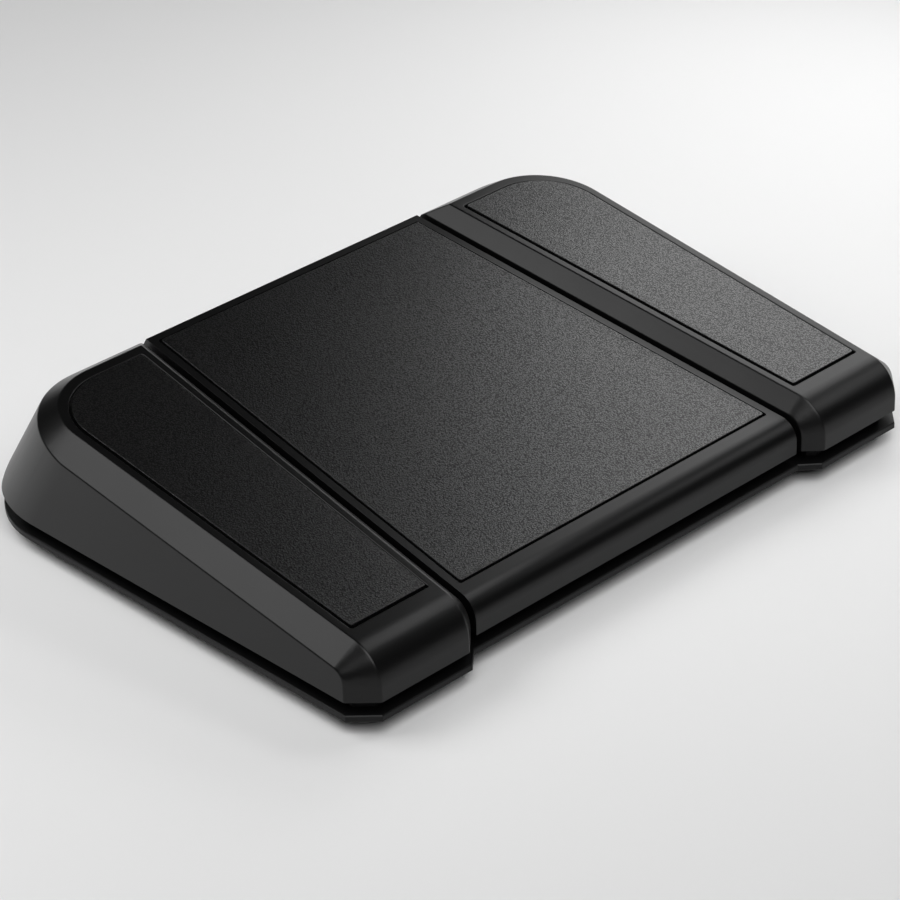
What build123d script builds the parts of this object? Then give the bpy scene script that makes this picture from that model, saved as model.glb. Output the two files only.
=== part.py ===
from build123d import *
import os
from math import atan, cos, degrees, radians, sin, tan

os.makedirs("parts", exist_ok=True)

# Overall size and stance, in millimetres: x is the width, y runs from the low front to the
# high rear, and z is zero at the soles of the rubber feet. A run is measured back from the
# front, and an inset forward from the rear.
depth = 184.4
center_front_half = 69.8
center_rear_half = 58.2
side_front_width = 46.4
pedal_gap = 2.3
foot_height = 5.0
plate_thickness = 2.3
pedal_lift = 4.3

# Form shared by the three pedals
top_angle = 8.8
front_rise = 14.6
nose_radius = 12.0
step = 4.9
bevel_width = 7.5
bevel_depth = 6.1
rear_lean = 34.5
rear_edge_inset = 23.9
rear_blend = 33.0
corner_radius = 31.5
crest_inset = 32.3
crest_corner = 23.5
wall = 2.8
overrun = 4.0

# Pads let into the pedal tops
pad_front_run = 15.0
pad_margin = 3.1
pad_thickness = 1.2
pad_groove = 0.55
pad_sink = 0.2
pad_corner = 0.8

# Stiffening ribs under the pedal tops
rib_thickness = 1.6
rib_depth = 5.0
rib_start_run = 32.0
rib_end_inset = 34.4
rib_pitch = 31.0
side_rib_offset = 10.0
center_rib_offset = 22.0

# Hinges along the rear
hinge_inset = 20.4
hinge_height = 20.0
shaft_radius = 3.0
running_gap = 0.05
seat_gap = 0.02
press_angle = 1.3
side_inner_block_share = 0.2017
side_outer_block_share = 0.6137
center_block_share = 0.7938
block_width = 6.0
block_radius = 6.2
block_foot_half = 9.0
block_half = 10.5
block_foot_height = 3.0
bush_radius = 4.0
bush_flange_radius = 5.2
bush_flange = 0.5
ear_width = 4.0
ear_radius = 6.5
ear_gap = 0.6
clip_gap = 0.3
clip_thickness = 0.8
clip_reach = 2.2
clip_mouth = 3.6
groove_depth = 0.5
shaft_tail = 0.7

# Inner frame
floor_thickness = 2.4
tray_gap = 1.8
tray_wall = 2.0
tray_height = 7.7
tray_back_inset = 8.4
beam_share = 0.564
boss_radius = 4.5
floor_rib_height = 2.2
floor_rib_gap = 8.0
side_rib_share = 0.6455

# Springs between frame and pedals
spring_run = 46.0
side_spring_share = 0.4268
center_spring_share = 0.4513
spring_radius = 6.2
spring_wire = 0.8
spring_turns = 6
spring_top = 23.4
spring_peg_radius = 4.6
spring_peg_height = 3.0
spring_pad_radius = 8.2

# Upper stops near the front
stop_run = 14.0
stop_bar_depth = 3.0
stop_bar_low = 14.4
stop_bar_height = 2.4
stop_bar_half = 6.0
stop_pad_height = 1.0
stop_pad_half = 3.6
side_inner_stop_share = 0.2934
side_outer_stop_share = 0.6731
center_stop_share = 0.6542
hook_half = 3.0
hook_thickness = 2.5
toe_height = 2.4
toe_gap = 0.1
hook_gap = 0.9
stop_window_gap = 0.7
stop_post = 2.0

# Lower stops
buffer_run = 30.0
side_buffer_share = 0.4956
center_buffer_share = 0.2662
buffer_radius = 5.0
buffer_height = 3.5
buffer_reserve = 0.15
post_radius = 3.5

# Snap switches
switch_run_share = 0.4338
side_switch_share = 0.4538
switch_length = 19.8
switch_width = 6.4
switch_height = 10.2
switch_lift = 2.3
switch_hole_radius = 1.2
switch_hole_spacing = 9.5
switch_hole_height = 3.0
switch_clearance = 0.05
bracket_width = 3.0
bracket_length = 15.0
bracket_height = 9.0
switch_screw_length = 9.0
lever_length = 17.0
lever_half = 1.7
lever_thickness = 0.5
lever_rise = 8.0
lever_pivot_inset = 1.9
lever_pivot_height = 0.7
lever_curl_radius = 0.9
lever_pin_radius = 0.5
cheek_width = 1.0
cheek_length = 3.0
cheek_height = 2.0
plunger_arm = 6.5
plunger_half = 0.8
plunger_width = 2.4
plunger_cap = 2.0
plunger_flange = 0.9
plunger_flange_reach = 0.6
plunger_chamber = 5.0
tag_width = 3.2
tag_thickness = 0.5
tag_length = 1.8
tag_spacing = 7.6
finger_arm = 16.0
finger_radius = 1.6
finger_gap = 0.3

# Circuit board and port
board_half = 26.0
board_front_share = 0.64
board_back_inset = 10.9
board_lift = 1.5
board_thickness = 1.6
board_hole_inset = 4.0
board_corner = 1.5
standoff_radius = 3.0
socket_width = 9.0
socket_height = 3.2
socket_length = 7.6
socket_back_inset = 9.4
socket_wall = 0.35
tongue_thickness = 0.7
tongue_width = 6.7
port_gap = 0.3
shroud_half = 6.9
shroud_low = 4.2
shroud_wall = 1.8
shroud_back_inset = 0.8
notch_gap = 1.8
notch_front_inset = 12.4
chip_size = 7.0
chip_height = 0.9
chip_run_share = 0.792
part_size = 1.6
part_height = 0.8
part_pitch = 4.0
header_width = 8.0
header_depth = 6.0
header_height = 4.2

# Leads from the switches to the board
lead_radius = 1.1
lead_height = 14.9
lead_low = 8.9
lead_bend = 8.0
lead_easy_bend = 6.0
lead_dip_reach = 11.0
lead_dip_length = 5.0
lead_rise_reach = 10.0
lead_rise_length = 10.0
lead_rise_share = 0.5
lead_rise_end_share = 0.735
saddle_share = 0.3
saddle_length = 4.0
saddle_half = 3.0
saddle_height = 2.6
lead_channel_gap = 0.5
side_header_share = 0.7375

# Screws and feet
base_screw_radius = 1.7
base_screw_head = 3.2
base_screw_head_height = 2.0
base_screw_length = 8.0
boss_height = 4.8
small_screw_radius = 1.1
small_screw_head = 1.9
small_screw_head_height = 1.4
small_screw_length = 4.4
thread_gap = 0.05
hole_gap = 0.3
drive_radius_share = 0.45
drive_depth_share = 0.6
sole_length = 60.0
sole_width = 14.0
sole_share = 0.574
sole_front_run = 19.0
sole_rear_inset = 17.4
sole_chamfer = 0.8
plate_corner = 36.6
plate_front_chamfer = 7.4
plate_step = 5.0
plate_step_margin = 0.6
plate_step_cut = 5.7
plate_edge = 0.3
front_screw_run = 34.0
center_screw_inset = 19.4
side_screw_inset = 38.4
middle_screw_share = 0.607
side_front_screw_shares = (0.2325, 0.7442)
side_middle_screw_share = 0.312
side_rear_screw_share = 0.359
center_front_screw_share = 0.817
center_middle_screw_share = 0.648
center_rear_screw_share = 0.57

# Places worked out from the sizes above
width = (center_front_half + pedal_gap + side_front_width) * 2
front_y = -depth / 2
rear_y = depth / 2
plate_top = foot_height + plate_thickness
pedal_low = plate_top + pedal_lift
frame_floor = plate_top + floor_thickness
slope = tan(radians(top_angle))
square = cos(radians(top_angle))
lean = radians(rear_lean)
rear_edge_y = rear_y - rear_edge_inset
taper = (center_front_half - center_rear_half) / (rear_edge_y - front_y)
taper_square = cos(atan(taper))
bevel_slope = atan(bevel_depth / bevel_width)
hinge_y = rear_y - hinge_inset
switch_y = front_y + depth * switch_run_share
tray_back_y = rear_y - tray_back_inset
board_front_y = front_y + depth * board_front_share
board_back_y = rear_y - board_back_inset
switch_base = frame_floor + switch_lift
switch_top = switch_base + switch_height
pivot_y = switch_y + switch_length / 2 - lever_pivot_inset
pivot_height = switch_top + lever_pivot_height
board_base = frame_floor + board_lift
board_top = board_base + board_thickness
port_height = board_top + socket_height / 2


def top_height(y, drop):
    """Height of the side pedals' top plane at a depth y, moved down square to itself."""
    return pedal_low + front_rise + (y - front_y) * slope - drop / square


def half_width(y):
    """Half of the centre pedal's width at a depth y."""
    return center_front_half - (y - front_y) * taper


def side_place(y, share):
    """A distance from the middle that is this share of the way across a side pedal at a depth y."""
    seam = half_width(y) + pedal_gap
    return seam + (width / 2 - seam) * share


def travel(y):
    """How far a pedal sinks at a depth y when it is pressed home."""
    return (hinge_y - y) * sin(radians(press_angle))


rear_edge_height = top_height(rear_edge_y, step)
crest_run = depth - crest_inset

# Depths and distances from the middle that several pieces share
stop_y = front_y + stop_run + stop_bar_depth / 2
spring_y = front_y + spring_run
buffer_y = front_y + buffer_run
side_inner_block_x = side_place(hinge_y, side_inner_block_share)
side_outer_block_x = side_place(hinge_y, side_outer_block_share)
side_hinge_x = (side_inner_block_x + side_outer_block_x) / 2
side_block_offset = side_outer_block_x - side_hinge_x
center_block_offset = half_width(hinge_y) * center_block_share
side_stops = [side_place(stop_y, share) for share in (side_inner_stop_share, side_outer_stop_share)]
center_stop_x = half_width(stop_y) * center_stop_share
side_spring_x = side_place(spring_y, side_spring_share)
center_spring_x = half_width(spring_y) * center_spring_share
side_buffer_x = side_place(buffer_y, side_buffer_share)
center_buffer_x = half_width(buffer_y) * center_buffer_share
side_switch_x = side_place(switch_y, side_switch_share)


# Pedal forms: an upright front, a rolled nose, a sloping top and a leaning rounded back
def side_outline(drop, inset):
    """A pedal seen from the side, its front and top moved in by drop and its back by inset."""
    face_y = front_y + drop
    back_y = rear_y - inset
    line_y = rear_edge_y - inset / cos(lean)
    fall = rear_edge_height - top_height(front_y, drop) + front_y * slope
    crest_y = (line_y + fall * tan(lean)) / (1 + slope * tan(lean))
    nose = (face_y, top_height(face_y, drop))
    crest = (crest_y, top_height(crest_y, drop))
    turn = (back_y, rear_edge_height - (back_y - line_y) / tan(lean))
    with BuildSketch(Plane.YZ) as outline:
        with BuildLine():
            FilletPolyline(
                (face_y, -rear_blend),
                nose,
                crest,
                turn,
                (back_y, -rear_blend),
                radius=(0, nose_radius - drop, 0, rear_blend - inset, 0),
                close=True,
            )
        make_face()
    return outline.sketch


def nose_outline(face_y, end_y, drop, radius):
    """The front of a side pedal seen from the side, cut off upright behind its nose."""
    with BuildLine() as line:
        FilletPolyline(
            (face_y, -rear_blend),
            (face_y, top_height(face_y, drop)),
            (end_y, top_height(end_y, drop)),
            (end_y, -rear_blend),
            radius=(0, radius, 0, 0),
            close=True,
        )
    return line.line


def bevel_form(inset):
    """A block that the long outer bevel bounds: round the nose, along the side and the rear."""
    narrow = inset * tan(bevel_slope / 2)
    crease_x = width / 2 - bevel_width - narrow
    edge_x = width / 2 - inset
    reach = edge_x - crease_x
    fall = reach * tan(bevel_slope)
    face_y = front_y + inset
    end_y = 0
    radius = nose_radius - inset
    crown = Plane(
        origin=(0, front_y, top_height(front_y, inset - fall)),
        x_dir=(1, 0, 0),
        z_dir=(0, -sin(radians(top_angle)), cos(radians(top_angle))),
    )
    with BuildPart() as form:
        with BuildSketch(Plane.YZ.offset(crease_x - reach)) as inner:
            add(nose_outline(face_y - reach, end_y, inset - fall, radius + reach))
            make_face()
        with BuildSketch(Plane.YZ.offset(edge_x)):
            add(nose_outline(face_y + reach, end_y, inset + fall, radius - reach))
            make_face()
        loft(ruled=True)
        extrude(inner.sketch, amount=reach - crease_x)
        with BuildSketch(crown):
            with BuildLine():
                FilletPolyline(
                    (0, (end_y - front_y) / square),
                    (0, crest_run / square - narrow - reach),
                    (crease_x - reach, crest_run / square - narrow - reach),
                    (crease_x - reach, (end_y - front_y) / square),
                    radius=(0, 0, crest_corner - narrow - reach, 0),
                    close=True,
                )
            make_face()
        extrude(amount=-rear_blend - corner_radius, taper=degrees(bevel_slope) - 90)
    return form.part


def side_form(inset):
    """The right pedal's body, or its hollow when its faces are moved in by the wall."""
    clear = pedal_gap + inset / taper_square
    with BuildPart() as form:
        extrude(side_outline(inset, inset), amount=width / 2 - inset)
        outer = form.faces().sort_by(Axis.X)[-1]
        fillet(outer.edges().filter_by(lambda edge: edge.center().Y > rear_edge_y), corner_radius - inset)
        add(bevel_form(inset), mode=Mode.INTERSECT)
        with BuildSketch(Plane.XY.offset(pedal_low)):
            with BuildLine():
                Polyline(
                    (half_width(front_y) + clear, front_y),
                    (half_width(rear_y) + clear, rear_y),
                    (width, rear_y),
                    (width, front_y),
                    close=True,
                )
            make_face()
        extrude(amount=width, mode=Mode.INTERSECT)
        inner = form.faces().sort_by(Axis.X)[0]
        rim = inner.edges().filter_by(lambda edge: edge.center().Y < hinge_y - corner_radius)
        rim = rim.filter_by(lambda edge: edge.center().Z > pedal_low + seat_gap)
        chamfer(rim, step - inset * (1 - tan(radians(22.5))))
    return form.part


def center_form(inset):
    """The centre pedal's body, or its hollow when its faces are moved in by the wall."""
    clear = inset / taper_square
    with BuildPart() as form:
        extrude(side_outline(step + inset, inset), amount=width / 2, both=True)
        with BuildSketch(Plane.XY.offset(pedal_low)):
            with BuildLine():
                Polyline(
                    (half_width(front_y) - clear, front_y),
                    (half_width(rear_y) - clear, rear_y),
                    (clear - half_width(rear_y), rear_y),
                    (clear - half_width(front_y), front_y),
                    close=True,
                )
            make_face()
        extrude(amount=width, mode=Mode.INTERSECT)
    return form.part


def top_plane(drop):
    """The sloping plane of the pedal tops, with y measured along the slope from the front."""
    return Plane(
        origin=(0, front_y, top_height(front_y, drop)),
        x_dir=(1, 0, 0),
        z_dir=(0, -sin(radians(top_angle)), cos(radians(top_angle))),
    )


def side_pad_outline(drop, grow):
    """Outline of a side pad in its sloping plane, or of its recess when it is grown."""
    front = pad_front_run / square - grow
    back = crest_run / square - pad_margin + grow
    outer = width / 2 - bevel_width - pad_margin + grow
    inner = pedal_gap + step + pad_margin - grow
    with BuildSketch(top_plane(drop)) as outline:
        with BuildLine():
            FilletPolyline(
                (half_width(front_y + front * square) + inner, front),
                (half_width(front_y + back * square) + inner, back),
                (outer, back),
                (outer, front),
                radius=(pad_corner, pad_corner, crest_corner - pad_margin + grow, pad_corner),
                close=True,
            )
        make_face()
    return outline.sketch


def center_pad_outline(drop, grow):
    """Outline of the centre pad in its sloping plane, or of its recess when it is grown."""
    front = pad_front_run / square - grow
    back = (rear_edge_y - front_y) / square - pad_margin + grow
    front_half = half_width(front_y + front * square) - pad_margin + grow
    back_half = half_width(front_y + back * square) - pad_margin + grow
    with BuildSketch(top_plane(drop)) as outline:
        with BuildLine():
            FilletPolyline(
                (-front_half, front),
                (-back_half, back),
                (back_half, back),
                (front_half, front),
                radius=pad_corner,
                close=True,
            )
        make_face()
    return outline.sketch


# Stiffening ribs, hinge ears and hanging fittings inside the pedals
def rib_form(drop, middle_x, offset):
    """Ribs along and across the underside of a top, hanging one rib depth below its ceiling."""
    start_y = front_y + rib_start_run
    end_y = rear_y - rib_end_inset
    with BuildPart() as ribs:
        with BuildSketch(Plane.YZ.offset(middle_x)):
            with BuildLine():
                Polyline(
                    (start_y, top_height(start_y, drop + wall + rib_depth)),
                    (end_y, top_height(end_y, drop + wall + rib_depth)),
                    (end_y, top_height(end_y, drop + wall / 2)),
                    (start_y, top_height(start_y, drop + wall / 2)),
                    close=True,
                )
            make_face()
        extrude(amount=center_front_half, both=True)
        with BuildSketch(Plane.XY):
            with Locations((middle_x - offset, 0), (middle_x + offset, 0)):
                Rectangle(rib_thickness, depth)
            with Locations((middle_x, (start_y + end_y) / 2)):
                with GridLocations(width, rib_pitch, 1, 5):
                    Rectangle(width, rib_thickness)
        extrude(amount=width, mode=Mode.INTERSECT)
    return ribs.part


def ear_form(places):
    """Hinge ears: a round boss about the hinge line, carried up to the pedal's ceiling."""
    with BuildPart() as ears:
        for x in places:
            with BuildSketch(Plane.YZ.offset(x - ear_width / 2)):
                with Locations((hinge_y, hinge_height)):
                    Circle(ear_radius)
                with Locations((hinge_y - ear_radius, rear_edge_height + corner_radius)):
                    Rectangle(ear_radius * 4, corner_radius * 2)
                make_hull()
            extrude(amount=ear_width)
    return ears.part


def hang_fittings(stops, springs, buffers, finger_x):
    """Stop hooks, spring seats, stop posts and the switch finger, all run up past the ceiling."""
    toe_low = stop_bar_low - stop_pad_height - toe_gap - toe_height
    leg_y = front_y + stop_run + stop_bar_depth + hook_gap
    finger_y = pivot_y - finger_arm
    finger_low = pivot_height + finger_arm * tan(radians(lever_rise)) + lever_thickness / 2 + finger_gap
    buffer_top = frame_floor + buffer_height
    with BuildPart() as fittings:
        for x in stops:
            with BuildSketch(Plane.XY.offset(toe_low)):
                with Locations((x, leg_y + hook_thickness / 2)):
                    Rectangle(hook_half * 2, hook_thickness)
            extrude(amount=width)
            with BuildSketch(Plane.XY.offset(toe_low)):
                with Locations((x, front_y + stop_run)):
                    Rectangle(
                        hook_half * 2,
                        leg_y + hook_thickness - front_y - stop_run,
                        align=(Align.CENTER, Align.MIN),
                    )
            extrude(amount=toe_height)
        for x in springs:
            with BuildSketch(Plane.XY.offset(spring_top)):
                with Locations((x, spring_y)):
                    Circle(spring_pad_radius)
            extrude(amount=width)
            with BuildSketch(Plane.XY.offset(spring_top - spring_peg_height)):
                with Locations((x, spring_y)):
                    Circle(spring_peg_radius)
            extrude(amount=spring_peg_height)
        for x in buffers:
            with BuildSketch(Plane.XY.offset(buffer_top + travel(buffer_y) + buffer_reserve)):
                with Locations((x, buffer_y)):
                    Circle(post_radius)
            extrude(amount=width)
        with BuildSketch(Plane.XY.offset(finger_low)):
            with Locations((finger_x, finger_y)):
                Rectangle(lever_half * 2, finger_radius * 2)
        extrude(amount=width)
        tip = fittings.edges().filter_by(Axis.X)
        tip = tip.filter_by(lambda edge: abs(edge.center().Z - finger_low) < seat_gap)
        fillet(tip, finger_radius - seat_gap)
    return fittings.part


def finish_pedal(name, body, hollow, skin, ribs, recess, ears, fittings, ear_places, notch):
    """Shell a pedal, hang its ribs, ears and fittings inside the shell, and cut its recess."""
    with BuildPart() as inner_works:
        add(ribs)
        add(ears)
        add(fittings)
        add(skin, mode=Mode.INTERSECT)
    with BuildPart() as low_works:
        add(fittings)
        add(ears)
        with BuildSketch(Plane.XY.offset(-width / 2)):
            Rectangle(width * 2, depth * 2)
        extrude(amount=pedal_low + width / 2, mode=Mode.INTERSECT)
    with BuildPart() as pedal:
        add(body)
        add(hollow, mode=Mode.SUBTRACT)
        add(inner_works.part)
        add(low_works.part)
        extrude(recess, amount=overrun, mode=Mode.SUBTRACT)
        with BuildSketch(Plane.YZ.offset(min(ear_places) - ear_width)):
            with Locations((hinge_y, hinge_height)):
                Circle(shaft_radius + seat_gap)
        extrude(amount=max(ear_places) - min(ear_places) + ear_width * 2, mode=Mode.SUBTRACT)
        if notch:
            with BuildSketch(Plane.XY.offset(pedal_low - overrun)):
                with Locations((0, rear_y - notch_front_inset)):
                    Rectangle(
                        (shroud_half + shroud_wall + notch_gap) * 2,
                        depth,
                        align=(Align.CENTER, Align.MIN),
                    )
            extrude(
                amount=port_height + shroud_low + shroud_wall + notch_gap - pedal_low + overrun,
                mode=Mode.SUBTRACT,
            )
    pedal.part.label = name
    export_step(pedal.part, f"parts/{name}.step")
    return pedal.part


side_ear_x = side_block_offset - block_width / 2 - ear_gap - ear_width / 2
center_ear_x = center_block_offset - block_width / 2 - ear_gap - ear_width / 2
side_ears = [side_hinge_x - side_ear_x, side_hinge_x + side_ear_x]
center_ears = [-center_ear_x, center_ear_x]

right_shell = finish_pedal(
    "right_pedal",
    side_form(0),
    side_form(wall),
    side_form(wall / 2),
    rib_form(0, side_switch_x, side_rib_offset),
    side_pad_outline(pad_thickness + pad_sink, pad_groove),
    ear_form(side_ears),
    hang_fittings(side_stops, [side_spring_x], [side_buffer_x], side_switch_x),
    side_ears,
    False,
)
finish_pedal(
    "center_pedal",
    center_form(0),
    center_form(wall),
    center_form(wall / 2),
    rib_form(step, 0, center_rib_offset),
    center_pad_outline(step + pad_thickness + pad_sink, pad_groove),
    ear_form(center_ears),
    hang_fittings(
        [-center_stop_x, center_stop_x],
        [-center_spring_x, center_spring_x],
        [-center_buffer_x, center_buffer_x],
        0,
    ),
    center_ears,
    True,
)
with BuildPart() as left_shell:
    add(mirror(right_shell, about=Plane.YZ, mode=Mode.PRIVATE))
left_shell.part.label = "left_pedal"
export_step(left_shell.part, "parts/left_pedal.step")


# Small helpers that add to the piece being built, or cut from it, at several places at once
def blocks(places, z, size_x, size_y, size_z, mode=Mode.ADD):
    """Blocks centred on the places that stand on z."""
    with Locations(*[(x, y, z) for x, y in places]):
        Box(size_x, size_y, size_z, align=(Align.CENTER, Align.CENTER, Align.MIN), mode=mode)


def pillars(places, z, radius, height, mode=Mode.ADD):
    """Upright cylinders that stand on z."""
    with Locations(*[(x, y, z) for x, y in places]):
        Cylinder(radius, height, align=(Align.CENTER, Align.CENTER, Align.MIN), mode=mode)


def rods(starts, radius, length, mode=Mode.ADD):
    """Cylinders that run along x from their starts."""
    upright = (Align.CENTER, Align.CENTER, Align.MIN)
    with Locations(*starts):
        Cylinder(radius, length, rotation=(0, 90, 0), align=upright, mode=mode)


def save(piece, name):
    """Name a finished piece and write its file."""
    piece.label = name
    export_step(piece, f"parts/{name}.step")


def both_sides(places):
    """The places, given as distance from the middle and depth y, on both sides of the middle."""
    return [(side * x, y) for x, y in places for side in (-1, 1)]


# Places that the frame shares with what it carries
front_screw_y = front_y + front_screw_run
middle_screw_y = front_y + depth * middle_screw_share
side_screw_y = rear_y - side_screw_inset
center_screw_y = rear_y - center_screw_inset
front_screws = [(side_place(front_screw_y, share), front_screw_y) for share in side_front_screw_shares]
base_screws = both_sides(
    [
        *front_screws,
        (side_place(middle_screw_y, side_middle_screw_share), middle_screw_y),
        (side_place(side_screw_y, side_rear_screw_share), side_screw_y),
        (half_width(front_screw_y) * center_front_screw_share, front_screw_y),
        (half_width(middle_screw_y) * center_middle_screw_share, middle_screw_y),
        (half_width(center_screw_y) * center_rear_screw_share, center_screw_y),
    ]
)
hinge_places = both_sides(
    [
        (side_inner_block_x, hinge_y),
        (side_outer_block_x, hinge_y),
        (center_block_offset, hinge_y),
    ]
)
stop_places = both_sides([(x, stop_y) for x in (*side_stops, center_stop_x)])
spring_places = both_sides([(side_spring_x, spring_y), (center_spring_x, spring_y)])
buffer_places = both_sides([(side_buffer_x, buffer_y), (center_buffer_x, buffer_y)])
board_holes = both_sides(
    [
        (board_half - board_hole_inset, board_front_y + board_hole_inset),
        (board_half - board_hole_inset, board_back_y - board_hole_inset),
    ]
)
switch_places = [-side_switch_x, 0, side_switch_x]
switch_hole_ys = [switch_y - switch_hole_spacing / 2, switch_y + switch_hole_spacing / 2]
switch_hole_z = switch_base + switch_hole_height
bracket_x = (switch_width + bracket_width) / 2
bracket_places = [(x - bracket_x if x < 0 else x + bracket_x, switch_y) for x in switch_places]
foot_low = plate_top + running_gap * 2
foot_top = foot_low + block_foot_height
bush_seat = bush_radius + seat_gap
cap_screw_reach = (block_foot_half + bush_seat) / 2
cap_screws = [(x, y + end * cap_screw_reach) for x, y in hinge_places for end in (-1, 1)]
channel_y = front_y + depth * side_header_share
lead_dip_inner = half_width(channel_y) + lead_dip_reach
lead_dip_outer = lead_dip_inner + lead_dip_length
lead_rise_outer = half_width(channel_y) - lead_rise_reach
lead_rise_inner = lead_rise_outer - lead_rise_length
tag_back = switch_y + tag_spacing + tag_thickness / 2
center_lead_room = board_front_y - tag_back
lead_floor = frame_floor + lead_radius + running_gap
saddle_places = [(x, (tag_back + channel_y) / 2) for x in (-side_switch_x, side_switch_x)]
saddle_places = saddle_places + [(0, tag_back + center_lead_room * saddle_share)]

# Base plate of steel, with its front stepped back between the side pedals
plate_step_inner = center_front_half + plate_step_margin
plate_step_outer = plate_step_inner + plate_step_cut
with BuildPart() as plate:
    with BuildSketch(Plane.XY.offset(foot_height)):
        with BuildLine():
            FilletPolyline(
                (-plate_step_inner, front_y + plate_step),
                (plate_step_inner, front_y + plate_step),
                (plate_step_outer, front_y),
                (width / 2 - plate_front_chamfer, front_y),
                (width / 2, front_y + plate_front_chamfer),
                (width / 2, rear_y),
                (-width / 2, rear_y),
                (-width / 2, front_y + plate_front_chamfer),
                (plate_front_chamfer - width / 2, front_y),
                (-plate_step_outer, front_y),
                radius=(0, 0, 0, 0, 0, plate_corner, plate_corner, 0, 0, 0),
                close=True,
            )
        make_face()
        with Locations(*base_screws):
            Circle(base_screw_radius + hole_gap, mode=Mode.SUBTRACT)
    extrude(amount=plate_thickness)
    sheet_faces = plate.faces().filter_by(Axis.Z)
    chamfer([edge for face in sheet_faces for edge in face.outer_wire().edges()], plate_edge)
save(plate.part, "base_plate")

# Rubber soles under the plate
sole_x = width / 2 * sole_share
sole_places = both_sides([(sole_x, front_y + sole_front_run), (sole_x, rear_y - sole_rear_inset)])
with BuildPart() as soles:
    with BuildSketch(Plane.XY):
        with Locations(*sole_places):
            SlotOverall(sole_length, sole_width)
    extrude(amount=foot_height)
    chamfer(soles.faces().filter_by(Axis.Z).group_by(Axis.Z)[0].edges(), sole_chamfer)
save(soles.part, "rubber_feet")


# Screws, all with a rounded pan head and a cross recess
def screw_set(places, seat, head, head_height, shank, length):
    """Screws that point up from a seat at height seat, with their heads below it."""
    reach = head * drive_radius_share * 2
    sink = head_height * drive_depth_share
    low = seat - head_height
    with BuildPart() as screw:
        pillars([(0, 0)], low, head, head_height)
        rim = screw.faces().sort_by(Axis.Z)[0].edges()
        fillet(rim, head_height / 2)
        pillars([(0, 0)], seat, shank, length)
        chamfer(screw.faces().sort_by(Axis.Z)[-1].edges(), shank / 3)
        blocks([(0, 0)], low, reach, reach / 4, sink, Mode.SUBTRACT)
        blocks([(0, 0)], low, reach / 4, reach, sink, Mode.SUBTRACT)
    with BuildPart() as screws:
        with Locations(*places):
            add(screw.part)
    return screws.part


base_screw_set = screw_set(
    base_screws,
    foot_height,
    base_screw_head,
    base_screw_head_height,
    base_screw_radius,
    base_screw_length,
)
save(base_screw_set, "base_screws")
cap_screw_seat = foot_low + small_screw_head_height
cap_screw_set = screw_set(
    cap_screws,
    cap_screw_seat,
    small_screw_head,
    small_screw_head_height,
    small_screw_radius,
    small_screw_length,
)
save(cap_screw_set, "hinge_cap_screws")
with BuildPart() as board_screw_set:
    upturned = screw_set(
        board_holes,
        -board_top,
        small_screw_head,
        small_screw_head_height,
        small_screw_radius,
        small_screw_length,
    )
    add(mirror(upturned, about=Plane.XY, mode=Mode.PRIVATE))
save(board_screw_set.part, "board_screws")
with BuildPart() as switch_screw_set:
    for x in switch_places:
        sense = -1 if x < 0 else 1
        lying = screw_set(
            [(-switch_hole_z, y) for y in switch_hole_ys],
            -switch_width / 2,
            small_screw_head,
            small_screw_head_height,
            small_screw_radius,
            switch_screw_length,
        )
        turned = lying.rotate(Axis.Y, 90)
        if x < 0:
            turned = mirror(turned, about=Plane.YZ, mode=Mode.PRIVATE)
        with Locations((x, 0, 0)):
            add(turned)
save(switch_screw_set.part, "switch_screws")

# Inner frame: three trays on one floor, which is whole only behind the moving noses
tray_inset = wall + tray_gap
tray_clear = pedal_gap + tray_inset / taper_square
tray_corner = corner_radius - tray_inset
corner_share = 1 - tan(radians(22.5))


def tray_outlines(inset):
    """Outlines of the two side trays and the centre tray, moved in by inset."""
    clear = tray_clear + inset / taper_square
    front = front_y + tray_inset + inset
    back = tray_back_y - inset
    outer = width / 2 - tray_inset - inset
    outer_cut = bevel_width - (tray_inset + inset) * corner_share
    inner_cut = max(step - (tray_inset + inset) * corner_share, tray_wall / 2)
    center_front = front + step
    center_clear = clear - pedal_gap
    with BuildSketch() as outlines:
        with BuildLine():
            FilletPolyline(
                (half_width(front) + clear + inner_cut, front),
                (outer - outer_cut, front),
                (outer, front + outer_cut),
                (outer, back),
                (half_width(back) + clear, back),
                (half_width(front) + clear, front + inner_cut),
                radius=(0, 0, 0, tray_corner - inset, 0, 0),
                close=True,
            )
        make_face()
        mirror(about=Plane.YZ)
        with BuildLine():
            Polyline(
                (half_width(center_front) - center_clear, center_front),
                (half_width(back) - center_clear, back),
                (center_clear - half_width(back), back),
                (center_clear - half_width(center_front), center_front),
                close=True,
            )
        make_face()
    return outlines.sketch


with BuildPart() as lug:
    with BuildSketch(Plane.YZ.offset(-block_width / 2)):
        with Locations((hinge_y, hinge_height)):
            Circle(block_radius)
        with Locations((hinge_y, plate_top)):
            Rectangle(block_radius * 2, hinge_height - plate_top, align=(Align.CENTER, Align.MIN))
            Rectangle(block_half * 2, tray_height, align=(Align.CENTER, Align.MIN))
    extrude(amount=block_width)

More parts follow.
